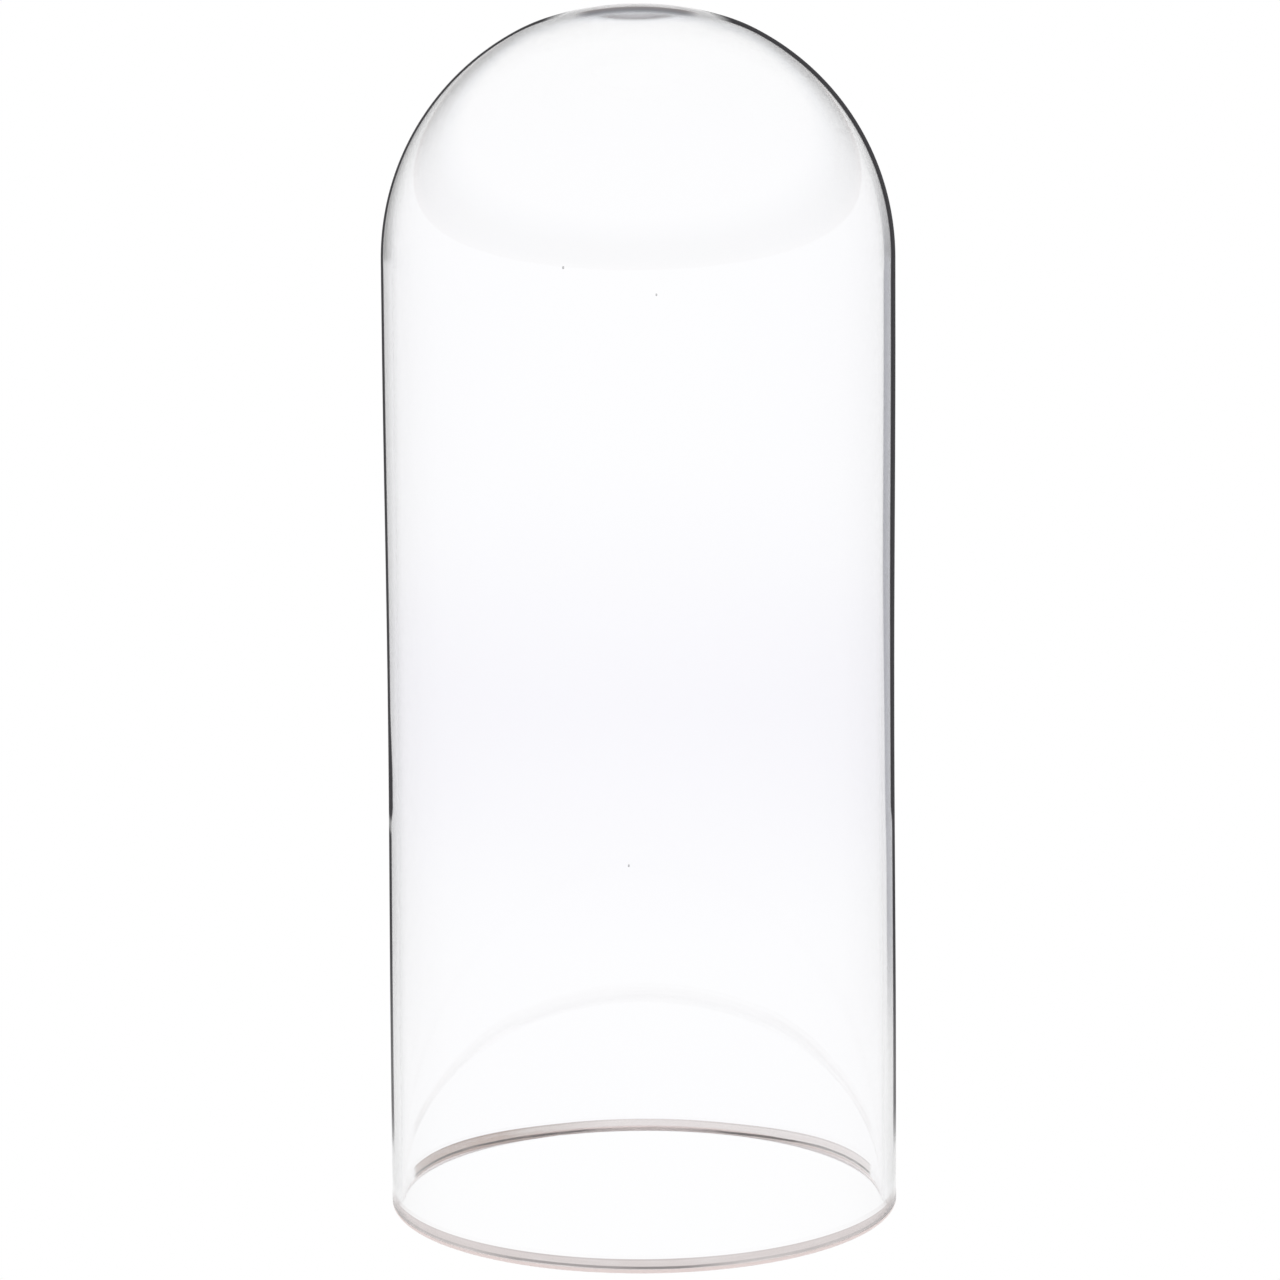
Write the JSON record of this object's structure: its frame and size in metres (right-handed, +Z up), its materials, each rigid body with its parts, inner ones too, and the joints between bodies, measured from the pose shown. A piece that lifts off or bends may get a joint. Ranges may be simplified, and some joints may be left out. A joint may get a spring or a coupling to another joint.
{
  "type": "glass cloche",
  "caption": "Tall clear glass cloche: a straight round tube closed by a dome, open below on a ground, fire-polished rim; it stands over a plant or a displayed object.",
  "frame": {"origin": "centre of the rim, on the plane that the cloche stands on", "axes": "+Z up along the axis of the tube and dome; +Y away from the viewer of the front; +X to that viewer's right"},
  "size_m": [0.127, 0.127, 0.305],
  "materials": {
    "clear_glass": "polished clear glass, water-clear through the wall, darker at its edges"
  },
  "bodies": {
    "root": {"glass_dome": "clear_glass"}
  },
  "joints": []
}
